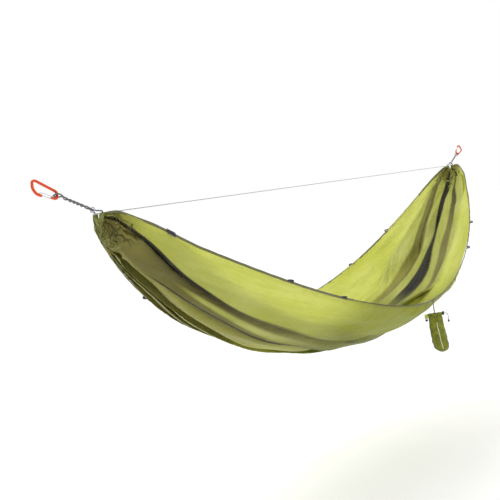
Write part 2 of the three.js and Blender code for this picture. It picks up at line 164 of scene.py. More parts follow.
def carried(line, loop=False, up=None):
    """Side and lift directions at each point of a line, without twist."""
    line = np.asarray(line, float)
    if loop:
        tangent = unit(np.roll(line, -1, 0) - np.roll(line, 1, 0))
    else:
        tangent = unit(np.gradient(line, axis=0))
    if up is not None:
        side = unit(np.cross(np.broadcast_to(up, line.shape), tangent))
        return side, np.cross(tangent, side)
    side = np.zeros_like(line)
    off_line = (0.3, 0.2, 0.93)    # a direction that none of the lines starts in
    side[0] = unit(np.cross(tangent[0], off_line))
    for k in range(1, len(line)):
        side[k] = unit(side[k - 1] - tangent[k] * (side[k - 1] @ tangent[k]))
    lift = np.cross(tangent, side)
    if loop:
        gap = np.arctan2(side[-1] @ lift[0], side[-1] @ side[0])
        turn = -gap * np.arange(len(line))[:, None] / (len(line) - 1)
        c, s = np.cos(turn), np.sin(turn)
        side, lift = side * c + lift * s, lift * c - side * s
    return side, lift


def lengths(line, loop=False):
    steps = np.linalg.norm(np.diff(line, axis=0), axis=1)
    total = np.concatenate([[0], np.cumsum(steps)])
    if loop:
        total = np.append(total, total[-1] + np.linalg.norm(line[0] - line[-1]))
    return total


def rings(line, section, side, lift, size=1.0):
    """A section, as rows of (side, lift), at each point of a line."""
    return line[:, None] + size * (section[:, :1] * side[:, None] + section[:, 1:] * lift[:, None])


def sweep(name, line, section, loop=False, up=None, scale=1.0):
    """A section carried along a line. u runs round 0 to 1, v in metres."""
    line = np.asarray(line, float)
    size = np.broadcast_to(scale, len(line))[:, None, None]
    grid = rings(line, section, *carried(line, loop, up), size)
    return skin(name, grid, lengths(line, loop), loop=loop, caps=not loop)


def round_section(radius, sides=16, squash=1.0, power=2.0):
    angle = turns(sides)
    c, s = np.cos(angle), np.sin(angle)
    shape = (np.abs(c) ** power + np.abs(s) ** power) ** (-1 / power)
    return np.stack([radius * shape * c, radius * squash * shape * s], -1)


def spline(points, count, loop=False):
    """Centripetal Catmull-Rom line through the points, evenly spaced."""
    points = np.asarray(points, float)
    before, after = 2 * points[0] - points[1], 2 * points[-1] - points[-2]
    if loop:
        points = np.concatenate([points[-2:], points, points[:3]])
    else:
        points = np.concatenate([[before], points, [after]])
    gaps = np.linalg.norm(np.diff(points, axis=0), axis=1)
    knots = np.concatenate([[0], np.cumsum(gaps ** 0.5)])
    out = []
    for k in range(1, len(points) - 2):
        p, t = points[k - 1:k + 3], knots[k - 1:k + 3]
        x = np.linspace(t[1], t[2], 9)[:-1, None]
        a = [(p[j] * (t[j + 1] - x) + p[j + 1] * (x - t[j])) / (t[j + 1] - t[j]) for j in range(3)]
        b = [(a[j] * (t[j + 2] - x) + a[j + 1] * (x - t[j])) / (t[j + 2] - t[j]) for j in range(2)]
        out.append((b[0] * (t[2] - x) + b[1] * (x - t[1])) / (t[2] - t[1]))
    dense = np.concatenate(out)
    if loop:
        dense = dense[8:-8]
        dense = np.concatenate([dense, dense[:1]])
    else:
        dense = np.concatenate([dense, points[-2:-1]])
    even = picked(dense, np.linspace(0, lengths(dense)[-1], count + loop))
    return even[:-1] if loop else even


def finish_piece(obj, material, body, slot, *nodes):
    obj.data.materials.clear()
    obj.data.materials.append(material)
    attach(obj, body)
    if nodes:
        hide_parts(*nodes)
    return obj


# ---- material helpers ----
class Shader:
    """A short way to write a node tree."""

    def __init__(self, name):
        self.material = bpy.data.materials.new(name)
        self.material.use_nodes = True
        self.tree = self.material.node_tree
        self.tree.nodes.clear()
        self.uv = self.add("ShaderNodeUVMap", uv_map="uv").outputs[0]
        self.place = self.add("ShaderNodeTexCoord").outputs["Object"]

    def add(self, kind, inputs=None, **settings):
        node = self.tree.nodes.new(kind)
        for key, value in settings.items():
            setattr(node, key, value)
        for key, value in (inputs or {}).items():
            socket = node.inputs[key]
            if isinstance(value, bpy.types.NodeSocket):
                self.tree.links.new(value, socket)
            else:
                socket.default_value = value
        return node

    def math(self, operation, *values):
        node = self.add("ShaderNodeMath", dict(enumerate(values)), operation=operation)
        return node.outputs[0]

    def scaled(self, vector, scale):
        node = self.add("ShaderNodeMapping", {"Vector": vector, "Scale": scale})
        return node.outputs[0]

    def noise(self, vector, scale, detail=3.0, rough=0.5, distortion=0.0):
        inputs = {"Vector": vector, "Scale": scale, "Detail": detail, "Roughness": rough,
                  "Distortion": distortion}
        return self.add("ShaderNodeTexNoise", inputs).outputs["Fac"]

    def ramp(self, value, low, high, start=0.0, end=1.0):
        inputs = {0: value, 1: low, 2: high, 3: start, 4: end}
        return self.add("ShaderNodeMapRange", inputs, interpolation_type="SMOOTHSTEP").outputs[0]

    def mix(self, factor, first, second):
        inputs = {0: factor, 6: first, 7: second}
        return self.add("ShaderNodeMix", inputs, data_type="RGBA").outputs[2]

    def times(self, value, by):
        return self.math("MULTIPLY", value, by)

    def wave(self, value, cycles):
        """A sine with so many cycles for each unit of the value."""
        return self.math("SINE", self.times(value, 2 * pi * cycles))

    def from_middle(self, value):
        """How far each half of a 0 to 1 run lies from its own middle."""
        halves = self.math("FRACT", self.times(value, 2.0))
        return self.math("ABSOLUTE", self.math("SUBTRACT", halves, 0.5))

    def axes(self, vector):
        node = self.add("ShaderNodeSeparateXYZ", {0: vector})
        return node.outputs[0], node.outputs[1], node.outputs[2]

    def attribute(self, name):
        return self.add("ShaderNodeAttribute", attribute_name=name).outputs["Fac"]

    def bump(self, height, distance, strength=1.0, normal=None):
        inputs = {"Height": height, "Distance": distance, "Strength": strength}
        if normal is not None:
            inputs["Normal"] = normal
        return self.add("ShaderNodeBump", inputs).outputs[0]

    def surface(self, base, rough, normal=None, glow=None, share=0.0, **inputs):
        """The finished material, of which a share lets light through, in the colour glow."""
        named = {key.replace("_", " "): value for key, value in inputs.items()}
        named.update({"Base Color": base, "Roughness": rough})
        if normal is not None:
            named["Normal"] = normal
        shader = self.add("ShaderNodeBsdfPrincipled", named).outputs[0]
        if share:
            through = {"Color": glow, "Normal": normal}
            through = self.add("ShaderNodeBsdfTranslucent", through).outputs[0]
            shader = self.add("ShaderNodeMixShader", {0: share, 1: shader, 2: through}).outputs[0]
        self.add("ShaderNodeOutputMaterial", {0: shader})
        return self.material


def rgb(*display):
    """Linear colour from 8-bit display values."""
    shares = [value / 255 for value in display]
    return (*(x / 12.92 if x <= 0.04045 else ((x + 0.055) / 1.055) ** 2.4 for x in shares), 1.0)


RIPSTOP_GAP = 0.006    # between the thicker threads


def bed_cloth():
    """Lime nylon with painted shade: khaki where shaded, nearly black as painted fold shadow, and a
    fuller green as painted shade underneath (deep).
    """
    s = Shader("bed_ripstop")
    painted_shade, fold_shadow, deep = (s.attribute(name) for name in ("painted_shade", "fold_shadow", "deep"))
    across, along, _ = s.axes(s.uv)
    patch = s.noise(s.scaled(s.uv, (5, 2.2, 1)), 1.0, 4.0, 0.55)
    streak = s.noise(s.scaled(s.uv, (70, 4, 1)), 1.0, 3.0, 0.6, 0.4)
    crumple = s.noise(s.scaled(s.uv, (22, 16, 1)), 1.0, 5.0, 0.55, 0.8)
    lime = s.mix(s.ramp(patch, 0.35, 0.7), rgb(188, 192, 80), rgb(212, 214, 122))
    lime = s.mix(s.ramp(streak, 0.45, 0.75, 0.0, 0.4), lime, rgb(158, 162, 54))
    # painted shade: the lime as it looks in shade, mixed in by the painted shade attribute
    shaded_lime = s.mix(s.ramp(patch, 0.35, 0.7), rgb(116, 109, 48), rgb(142, 135, 66))
    # painted shade under the bed, from the deep attribute: a fuller, darker green
    lime = s.mix(s.times(deep, 0.9), lime, rgb(132, 138, 22))
    base = s.mix(painted_shade, lime, shaded_lime)
    # painted shadow: nearly black in the mouths of the long folds
    base = s.mix(fold_shadow, base, rgb(26, 22, 10))
    threads = [s.ramp(s.wave(axis, 1 / RIPSTOP_GAP), 0.80, 0.99) for axis in (across, along)]
    grid = s.math("MAXIMUM", *threads)
    base = s.mix(s.times(grid, 0.10), base, rgb(120, 124, 44))
    # the colour let through takes the same painted shade and painted shadow
    through = s.mix(deep, rgb(190, 196, 72), rgb(118, 124, 14))
    glow = s.mix(fold_shadow, s.mix(painted_shade, through, rgb(104, 98, 32)), rgb(14, 12, 5))
    weave = s.noise(s.scaled(s.uv, (900, 900, 1)), 1.0, 1.0)
    normal = s.bump(crumple, 0.012, 0.8)
    normal = s.bump(streak, 0.005, 0.7, normal)
    normal = s.bump(grid, 0.0003, 0.5, normal)
    normal = s.bump(weave, 0.0002, 0.25, normal)
    rough = s.ramp(patch, 0.2, 0.8, 0.42, 0.56)
    return s.surface(base, rough, normal, glow, 0.36, Sheen_Weight=0.10, Sheen_Roughness=0.4,
                     Specular_IOR_Level=0.28)


def plain_cloth(name, light, dark, share=0.0, scale=1.0, rib=0.0022):
    """Woven nylon on smaller pieces, with its weave and creases in object space."""
    s = Shader(name)
    patch = s.noise(s.place, 60 * scale, 4.0, 0.6)
    crumple = s.noise(s.place, 140 * scale, 4.0, 0.6, 0.7)
    x, y, z = s.axes(s.place)
    weave = s.times(s.wave(z, 1 / rib), s.wave(s.math("ADD", x, y), 1 / rib))
    base = s.mix(s.ramp(patch, 0.3, 0.72), dark, light)
    base = s.mix(s.ramp(weave, 0.4, 1.0, 0.0, 0.18), base, dark)
    normal = s.bump(crumple, 0.0016, 0.6)
    normal = s.bump(weave, 0.00012, 0.5, normal)
    rough = s.ramp(patch, 0.2, 0.8, 0.45, 0.62)
    return s.surface(base, rough, normal, light, share, Sheen_Weight=0.08, Specular_IOR_Level=0.28)


def tape(name, light, dark, thread):
    """Folded binding or webbing: v runs along in metres, u round the section."""
    rib, stitch, columns = 0.0011, 0.0042, 18
    s = Shader(name)
    u, v, _ = s.axes(s.uv)
    weave = s.times(s.wave(v, 1 / rib), s.wave(u, columns))
    dust = s.noise(s.place, 90.0, 4.0, 0.6)
    base = s.mix(s.ramp(dust, 0.3, 0.75), dark, light)
    base = s.mix(s.ramp(weave, 0.1, 0.9, 0.0, 0.35), base, light)
    dash = s.ramp(s.wave(v, 1 / stitch), -0.35, -0.05)
    line = s.ramp(s.from_middle(u), 0.05, 0.09, 1.0, 0.0)
    seam = s.times(dash, line)
    base = s.mix(seam, base, thread)
    height = s.math("SUBTRACT", weave, s.times(line, 2.0))
    height = s.math("ADD", height, s.times(seam, 3.0))
    normal = s.bump(height, 0.00012, 0.7)
    rough = s.ramp(dust, 0.2, 0.8, 0.6, 0.8)
    return s.surface(base, rough, normal, Sheen_Weight=0.15)


def braid(name, light, dark, pitch, strands=8.0):
    """Braided cord: two families of strands crossing round the surface."""
    s = Shader(name)
    u, v, _ = s.axes(s.uv)
    turn = s.times(u, strands / 2)
    climb = s.math("DIVIDE", v, pitch)
    plait = s.times(*(
        s.math("ABSOLUTE", s.wave(s.math(way, turn, climb), 1)) for way in ("ADD", "SUBTRACT")))
    fuzz = s.noise(s.place, 1400.0, 3.0, 0.6)
    # painted shade: darker where the strands part, lighter on their tops
    base = s.mix(s.ramp(plait, 0.02, 0.55), dark, light)
    base = s.mix(s.ramp(fuzz, 0.5, 0.8, 0.0, 0.4), base, dark)
    normal = s.bump(plait, 0.0004, 0.8)
    normal = s.bump(fuzz, 0.0001, 0.4, normal)
    rough = s.ramp(fuzz, 0.3, 0.7, 0.5, 0.75)
    return s.surface(base, rough, normal, Sheen_Weight=0.3)


def anodised():
    s = Shader("anodised_orange")
    brush = s.noise(s.scaled(s.uv, (6, 900, 1)), 1.0, 3.0, 0.6)
    wear = s.noise(s.place, 220.0, 6.0, 0.7)
    edge = s.ramp(wear, 0.66, 0.74)
    base = s.mix(s.ramp(brush, 0.3, 0.7), rgb(198, 62, 12), rgb(216, 82, 24))
    base = s.mix(s.times(edge, 0.55), base, rgb(214, 170, 140))
    rough = s.ramp(brush, 0.25, 0.75, 0.26, 0.42)
    normal = s.bump(brush, 0.00008, 0.35)
    return s.surface(base, rough, normal, Metallic=0.75, Coat_Weight=0.15)


def steel():
    s = Shader("steel_wire")
    grain = s.noise(s.place, 500.0, 4.0, 0.6)
    base = s.mix(s.ramp(grain, 0.3, 0.7), rgb(150, 152, 156), rgb(206, 208, 212))
    rough = s.ramp(grain, 0.3, 0.7, 0.2, 0.38)
    return s.surface(base, rough, s.bump(grain, 0.00005, 0.3), Metallic=1.0)


def plastic():
    s = Shader("black_plastic")
    grain = s.noise(s.place, 1800.0, 3.0, 0.6)
    wear = s.noise(s.place, 160.0, 5.0, 0.6)
    base = s.mix(s.ramp(wear, 0.45, 0.75), rgb(24, 25, 28), rgb(48, 49, 52))
    rough = s.ramp(wear, 0.3, 0.7, 0.38, 0.55)
    return s.surface(base, rough, s.bump(grain, 0.00008, 0.5))


def reflective():
    bar = 0.007    # from one printed bar to the next
    s = Shader("reflective_trim")
    _, v, _ = s.axes(s.uv)
    beads = s.noise(s.place, 2600.0, 2.0, 0.6)
    beat = s.ramp(s.wave(v, 1 / bar), -0.6, -0.3)
    base = s.mix(beat, rgb(120, 124, 60), rgb(222, 226, 200))
    base = s.mix(s.ramp(beads, 0.4, 0.7, 0.0, 0.3), base, rgb(170, 176, 140))
    return s.surface(base, 0.35, s.bump(beads, 0.0001, 0.5), Metallic=0.2)


BED_CLOTH = bed_cloth()
CHANNEL_CLOTH = plain_cloth("channel_ripstop", rgb(176, 184, 100), rgb(112, 112, 56), 0.25)
SACK_CLOTH = plain_cloth("sack_nylon", rgb(126, 131, 30), rgb(92, 96, 18), 0.1)
TAB_CLOTH = plain_cloth("tab_nylon", rgb(196, 206, 92), rgb(158, 168, 66), 0.2)
BINDING = tape("edging_tape", rgb(92, 92, 52), rgb(58, 58, 30), rgb(128, 130, 80))
WEBBING = tape("black_webbing", rgb(44, 45, 48), rgb(16, 17, 19), rgb(70, 71, 74))
ROPE = braid("grey_rope", rgb(102, 102, 108), rgb(36, 36, 40), 0.010)
LINE = braid("pale_line", rgb(196, 196, 200), rgb(120, 120, 124), 0.006, 6.0)
BLACK_CORD = braid("black_cord", rgb(52, 53, 56), rgb(14, 14, 16), 0.005, 6.0)
ORANGE = anodised()
STEEL = steel()
PLASTIC = plastic()
TRIM = reflective()


# ---- drawcord tail, the one free cord ----
def cord_tail():
    """The route, in the sack's millimetres: straight out of the lock, then hanging."""
    route = [
        (26.9, 0), (29, 0), (31, 0), (33, 0), (35, 0), (37, 0), (39, 0), (41, -0.2), (43.4, -0.9),
        (45.6, -2.2), (47.4, -4), (48.8, -6.3), (49.6, -9), (50, -12), (50.1, -15), (50.1, -18),
        (50, -21), (50, -24), (50, -26.5),
    ]
    points = sack_place([(x / 1000, 0, z / 1000 - COLLAR_TALL / 2) for x, z in route])
    curve = bpy.data.curves.new("drawcord_tail", "CURVE")
    curve.dimensions = "3D"
    curve.bevel_depth = 0.001
    curve.bevel_resolution = 4
    curve.use_fill_caps = True
    line = curve.splines.new("POLY")
    line.points.add(len(points) - 1)
    for knot, point in zip(line.points, points):
        knot.co = (*point, 1)
    line.use_smooth = True
    obj = add_object("drawcord_tail", curve)
    finish_piece(obj, BLACK_CORD, "stuff_sack", "black_cord", "sack_cord_tail")
    return obj, points


tail, tail_points = cord_tail()


def cord_end():
    """The moulded end: a turned profile, in millimetres, with finger grooves on its lower part."""
    tip = np.array(tail_points[-1])
    profile = np.array([
        (0.0008, -0.4), (1.8, -0.4), (2.3, -0.6), (3.3, -1.9), (4.1, -3.0), (4.25, -3.5),
        (4.1, -4.2), (3.5, -5.2), (2.8, -6.8), (2.1, -8.8), (1.5, -10.6), (1.0, -11.4),
        (0.0008, -11.6),
    ]) / 1000
    angle = turns(32)
    lower = (np.arange(len(profile)) > 6)[:, None]
    grooves = np.cos(angle * 8) > 0.5
    radius = profile[:, :1] * (1 - 0.05 * grooves * lower)
    height = np.repeat(profile[:, 1:], len(angle), 1)
    grid = np.stack([radius * np.cos(angle), radius * np.sin(angle), height], -1) + tip
    obj = skin("drawcord_end", grid, profile[:, 1], caps=True)
    return finish_piece(obj, PLASTIC, "stuff_sack", "black_plastic", "sack_cord_end")


tail_end = cord_end()


# ---- bed fabric ----
def bed_point(station, across):
    """A point of the bed's outer form: station 0 to 1 from the left gather, across -1 to 1."""
    station, across = np.broadcast_arrays(np.asarray(station, float), np.asarray(across, float))
    spread = np.sin(pi * station)
    share = (across + 1) / 2
    near, far = (edge["sag"] * (1 - np.abs(2 * station - 1) ** edge["fullness"])
                 for edge in (NEAR, FAR))
    drop = near * (1 - share) + far * share
    widths = [edge["width"] * spread ** edge["spread"] for edge in (NEAR, FAR)]
    width = np.where(across < 0, *widths)
    belly = np.maximum(np.cos(across * pi / 2), 0) ** 1.27
    y = np.sin(across * pi / 2) * width * (1 - 0.3 * belly)
    z = GATHER_Z - drop - BELLY * spread ** 0.3 * belly
    return np.stack([GATHER_X + RIDGE * station, y, z], -1)


def fuller(points, station, share):
    """Bunched cloth near each gather stands proud of the outer form, most at the near edge."""
    end = np.minimum(station, 1 - station)
    proud = (.015 - .011 * share) * smoothstep(end, .002, .010) * (1 - smoothstep(end, .03, .085))
    middle = bed_point(station, 1.0) * .5 + bed_point(station, -1.0) * .5
    middle[..., 2] -= .6 * BELLY * np.sin(pi * station) ** .3
    return points + unit(points - middle) * proud[..., None]


# Long folds: the share of the way round the bed at which each lies, by station, how deep it is,
# which way it doubles back, and how much painted shadow its mouth gets, towards the left end.
FOLDS = [
    {"at": [(0, .12), (.02, .15), (.04, .19), (.055, .225), (.09, .28), (.14, .295), (.2, .28),
            (.6, .27), (.85, .25), (1, .15)],
     "depth": [(0, 1), (.3, 1), (.42, .35), (.58, .3), (.7, .15), (.9, .2), (1, .6)],
     "side": 1, "dark": 1},
    {"at": [(0, .40), (.03, .50), (.05, .47), (.07, .445), (.12, .43), (.2, .42), (.3, .40),
            (.5, .36), (.7, .32), (.82, .34), (.9, .30), (1, .27)],
     "depth": [(0, 1), (.3, 1), (.42, .75), (.58, .6), (.68, .25), (.9, .2), (1, .4)],
     "side": 1, "dark": .9},
    {"at": [(0, .62), (.06, .60), (.15, .66), (.25, .66), (.4, .54), (.5, .49), (.7, .385),
            (.83, .400), (.91, .440), (.95, .480), (1, .56)],
     "depth": [(0, .9), (.04, .6), (.3, .5), (.5, .7), (.7, 1), (1, 1)], "side": -1, "dark": .4},
    {"at": [(0, .76), (.1, .74), (.15, .77), (.3, .73), (.45, .66), (.6, .58), (.7, .55),
            (.82, .55), (.9, .65), (.94, .72), (1, .82)],
     "depth": [(0, 1), (.3, .8), (.5, .7), (.7, .9), (1, 1)], "side": -1, "dark": .3},
    {"at": [(0, .90), (.1, .84), (.3, .81), (.45, .77), (.7, .74), (.9, .80), (1, .92)],
     "depth": [(0, 1), (.15, .9), (.3, .45), (.7, .4), (.85, .8), (1, 1)], "side": -1, "dark": .3},
]


def by_station(pairs, station):
    """A value that runs smoothly through its (station, value) pairs."""
    places, values = zip(*pairs)
    fine = np.linspace(0, 1, 401)
    return np.interp(station, fine, averaged(np.interp(fine, places, values), 19))


def blurred(rows, width):
    """Each row smoothed by a bell curve of its own width, in samples."""
    mirrored = np.concatenate([rows, rows[:, ::-1]], 1)
    frequency = np.fft.rfftfreq(mirrored.shape[1])
    bell = np.exp(-2 * (pi * frequency[None, :] * width[:, None]) ** 2)
    smooth = np.fft.irfft(np.fft.rfft(mirrored, axis=1) * bell, mirrored.shape[1], axis=1)
    return smooth[:, :rows.shape[1]]


def outer_layer(share, values, bins=160):
    """How far in the outermost of the layers at one place round the bed lies, smoothed."""
    rows = len(share)
    slot = np.clip((share * bins).astype(int), 0, bins - 1)
    outer = np.full((rows, bins), np.inf)
    middle = np.arange(bins) + .5
    for r in range(rows):
        np.minimum.at(outer[r], slot[r], values[r])
        held = np.isfinite(outer[r])
        outer[r] = np.interp(middle, middle[held], outer[r][held])
    outer = blurred(outer, np.full(rows, bins * .035))
    return np.stack([np.interp(share[r] * bins, middle, outer[r]) for r in range(rows)])


def small_gathers(rng, t, end, s):
    """Tilt of the cloth in many narrow gathers at the ends and fewer, softer ones in the middle."""
    tilt = np.interp(np.log(end), np.log([.0026, .01, .025, .05, .1, .2, .5]),
                     [1.50, 1.25, .86, .60, .42, .30, .20])
    gathers = np.zeros((len(t), s.shape[1]))
    for count, low, high in ((38, .0001, .016), (23, .009, .07), (13, .04, .2), (8, .12, .9)):
        warp = sum(rng.uniform(.25, .5) / k * np.sin(2 * pi * (k * s + rng.uniform(0, 1)))
                   for k in range(1, 5))
        drift = .35 * np.sin(2 * pi * (1.3 * t[:, None] + rng.uniform(0, 1)))
        wave = np.sin(2 * pi * (count * s + warp + drift))
        size = .82 + .30 * np.sin(2 * pi * (count * .37 * s + rng.uniform(0, 1)))
        fade_in = smoothstep(np.log(end), np.log(low), np.log(low * 2.2)) if low > .001 else 1.0
        fade_out = 1 - smoothstep(np.log(end), np.log(high * .5), np.log(high * 1.4))
        sharp = np.tanh(1.6 * wave) / np.tanh(1.6)
        gathers += (fade_in * fade_out)[:, None] * size * sharp
    calm = 1 - .78 * smoothstep(end, .02, .09)[:, None] * (
        1 - smoothstep(s, .14, .24) + smoothstep(s, .80, .90))
    return gathers * calm * tilt[:, None]


def slack_and_puckers(rng, rise, t, end, share, girth):
    """Slack in the smooth panels, and puckers where the edging draws the cloth in."""
    slack = np.zeros_like(rise)
    for _ in range(14):
        lengthways, sideways = rng.uniform(1.5, 9), rng.uniform(1.5, 11)
        slant = rng.uniform(-1, 1)
        slack += rng.uniform(.4, 1) * np.sin(
            2 * pi * (lengthways * t[:, None] + sideways * share * slant + rng.uniform(0, 1)))
    rise = rise + .0024 * slack * smoothstep(end, .02, .12)[:, None]
    away = share * girth[:, None]
    for hem, count, phase in ((away, 41, .2), (girth[:, None] - away, 33, .7)):
        slope = 2 * pi * (count * t[:, None] + phase + 5 * hem * np.sin(7 * t[:, None]))
        pucker = np.abs(np.sin(slope + 1.3 * np.sin(.37 * slope))) ** 1.5 - .4
        reach = .035 * (1.2 + np.sin(.71 * slope))
        fade = smoothstep(end, .02, .10)[:, None] * smoothstep(hem, 0, .012)
        rise = rise + .0075 * pucker * np.exp(-hem / reach) * fade
    return rise


def painted(t, end, share, places, fold_shadow):
    """Painted light and shade on the sheet by share and station: khaki shade, nearly black fold
    shadow, a lit crest kept lime, and a deeper green under the bed.
    """
    def band(start, stop, soft=.01):
        """1 from one share of the way round to another, both of which may change by station."""
        return smoothstep(share, start - soft, start + soft) * (
            1 - smoothstep(share, stop - soft, stop + soft))

    row = t[:, None]
    left = 1 - smoothstep(row, .20, .38)
    right = smoothstep(row, .58, .70)
    first, second, third, fourth = (places[:, k:k + 1] for k in range(4))
    # painted shade: khaki below the first fold on the left, in bands at the right end, and near the
    # gathers
    tied_shade = 1 - smoothstep(end, .006, .035)[:, None]
    shade_left = band(first + .004, second, .008) + .72 * band(second, .90, .012)
    shade_right = .85 * band(fourth, fourth + .10) + .85 * band(second - .07, second)
    painted_shade = np.maximum(np.maximum(shade_left * left, shade_right * right), .6 * tied_shade)
    # painted highlight: a lit crest kept lime, clear of painted shade and shadow
    lit_crest = np.exp(-((share - .383) / (.005 + .09 * row)) ** 4) * smoothstep(row, .07, .12)
    painted_shade = np.clip(painted_shade * (1 - .9 * lit_crest * left), 0, 1)
    # painted shadow: dark bands in the fold mouths towards the right end
    wander = .006 * np.sin(23 * row) + .004 * np.sin(57 * row)
    dim = band(second - .07, second - .005, .012) * (.12 + .55 * smoothstep(row, .84, .95))
    near_end = smoothstep(row, .84, .93)
    broad = band(third - .014 - .03 * near_end + wander, third + .090 + wander, .007)
    dark = np.maximum(np.maximum(broad, dim), .30 * band(fourth, fourth + .04))
    # painted shadow in the mouth of the first fold and along the groove of the second, towards the
    # left end
    wedge_shadow = band(first + .004, first + .055 - .03 * smoothstep(row, .06, .12), .006)
    wedge_shadow = wedge_shadow * (1 - smoothstep(row, .10, .26))
    groove_shadow = .9 * band(second + .002, second + .020, .006) * smoothstep(row, .03, .07)
    groove_shadow = groove_shadow * (1 - smoothstep(row, .30, .42))
    fold_shadow = np.maximum(np.maximum(fold_shadow, groove_shadow), np.maximum(dark * right, wedge_shadow))
    fold_shadow = fold_shadow * (1 - .9 * lit_crest * left)
    # painted shade under the bed: a fuller, darker green
    deep = band(-.3, .62, .08) * smoothstep(row, .24, .36) * (1 - smoothstep(row, .56, .72))
    return {"painted_shade": painted_shade, "fold_shadow": fold_shadow, "deep": deep}


def bed_sheet():
    """One sheet, its cross-sections laid out by the angle at which the cloth runs on from each
    point, so that it keeps its width through every gather and fold."""
    rows, cols = ((320, 460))
    rng = np.random.default_rng(11)
    crowd = np.linspace(0, 1, rows)
    start = 0.0026
    eased = 0.72 * (0.5 - 0.5 * np.cos(pi * crowd)) + 0.28 * crowd
    t = start + (1 - 2 * start) * eased
    end = np.minimum(t, 1 - t)
    width = 1.30
    step = width / (cols - 1)
    s = np.linspace(0, 1, cols)[None, :]
    cloth = s * width

    envelope = bed_point(t[:, None], np.linspace(-1, 1, 361)[None, :])
    girths = running(np.linalg.norm(np.diff(envelope, axis=1), axis=-1))
    girth = girths[:, -1]

    gathers = small_gathers(rng, t, end, s)

    # long folds, where the cloth doubles back on itself
    places = np.stack([by_station(fold["at"], t) for fold in FOLDS], 1)
    depth = np.stack([by_station(fold["depth"], t) for fold in FOLDS], 1)
    side = np.array([fold["side"] for fold in FOLDS])
    turn = (.010 + .020 * np.sqrt(girth / girth.max()))[:, None]
    open_up = smoothstep(end, .002, .012)[:, None]
    strength = 3.05 * open_up * smoothstep(depth, .1, .8)
    seen = side * (1 - 2 * smoothstep(t, .42, .58))[:, None]
    centre = places * width
    stretch = np.full(rows, .02)
    longest = .010 + .28 * smoothstep(end, .005, .085)
    tighten = np.ones(rows)

    def angles(centre, stretch, tighten):
        total = np.clip(gathers * tighten[:, None], -1.52, 1.52)
        for k in range(len(FOLDS)):
            half = (stretch * depth[:, k] / 2)[:, None]
            away = np.abs(cloth - centre[:, k:k + 1])
            plateau = 1 - smoothstep(away, half, half + turn)
            total = total * (1 - .9 * plateau * open_up) + side[k] * strength[:, k:k + 1] * plateau
        return total

    for _ in range(50):
        theta = angles(centre, stretch, tighten)
        run = running(np.cos(theta[:, 1:]) * step)
        extra = run[:, -1] - girth
        held = (stretch >= longest - 1e-6) | (extra < 0)
        stretch = np.clip(stretch + .35 * extra / (2 * depth.sum(1)), 0, longest)
        tighten = np.clip(tighten + 1.2 * held * extra / width, 1, 4)
        spread = run * (girth / np.maximum(run[:, -1], 1e-3))[:, None]
        for k in range(len(FOLDS)):
            here = np.array([np.interp(c, cloth[0], r) for c, r in zip(centre[:, k], spread)])
            aim = places[:, k] * girth - seen[:, k] * stretch * depth[:, k] / 2
            centre[:, k] += .6 * (aim - here)
        centre = np.clip(centre, .04, width - .04)
    centre = np.stack([averaged(column, 9) for column in centre.T], 1)
    stretch, tighten = averaged(stretch, 9), averaged(tighten, 9)
    theta = angles(centre, stretch, tighten)
    run = running(np.cos(theta[:, 1:]) * step)
    run = run * (girth / run[:, -1])[:, None]
    rise = running(np.sin(theta[:, 1:]) * step)
    share = np.clip(run / girth[:, None], 0, 1)
    rise = rise - outer_layer(share, rise)
    rise = np.where(rise < 0, .35 * rise, rise)
    rise = rise - rise[:, :1] * np.exp(-share / .07) - rise[:, -1:] * np.exp(-(1 - share) / .07)
    limit = (.010 + .050 * smoothstep(end, 0, .12))[:, None]
    rise = limit * np.tanh(rise / limit)

    rise = slack_and_puckers(rng, rise, t, end, share, girth)

    grid = np.zeros((rows, cols, 3))
    for r in range(rows):
        line = envelope[r]
        slope = unit(np.gradient(line[:, 1:], axis=0))
        at = np.clip(run[r], 0, girth[r])
        y = np.interp(at, girths[r], line[:, 1])
        z = np.interp(at, girths[r], line[:, 2])
        ny = np.interp(at, girths[r], -slope[:, 1])
        nz = np.interp(at, girths[r], slope[:, 0])
        grid[r, :, 0] = line[0, 0]
        grid[r, :, 1] = y + ny * rise[r]
        grid[r, :, 2] = z + nz * rise[r]

    grid = fuller(grid, np.repeat(t[:, None], cols, 1), share)
    obj = skin("bed_cloth", grid, t * FLAT_CLOTH[1], cloth[0] * FLAT_CLOTH[0] / width, wrap=False)

    # painted shadow at each point: on the layers behind it, and past the mouths of the long folds
    fold_shadow = np.zeros((rows, cols))
    for k in range(len(FOLDS)):
        half = (stretch * depth[:, k] / 2)[:, None]
        past = (cloth - centre[:, k:k + 1]) * np.sign(seen[:, k:k + 1])
        inside = smoothstep(past, -half, -half + turn * .6)
        beyond = np.maximum(past - 3 * half - turn - .008, 0)
        fall = .6 * np.exp(-beyond / .012) + .4 * np.exp(-beyond / .035)
        weight = FOLDS[k]["dark"] * (1 - smoothstep(t, .45, .6))[:, None]
        if k == 1:    # no painted shadow on this fold close to the gather, so the crest beside it stays light
            weight = weight * smoothstep(t, .07, .15)[:, None]
        fold_shadow = np.maximum(fold_shadow, inside * fall * weight * strength[:, k:k + 1] / 3.02)

    for name, values in painted(t, end, share, places, fold_shadow).items():
        layer = obj.data.attributes.new(name, "FLOAT", "POINT")
        layer.data.foreach_set("value", values.astype(np.float32).ravel())
    finish_piece(obj, BED_CLOTH, "hammock", "ripstop", "bed")


bed_sheet()


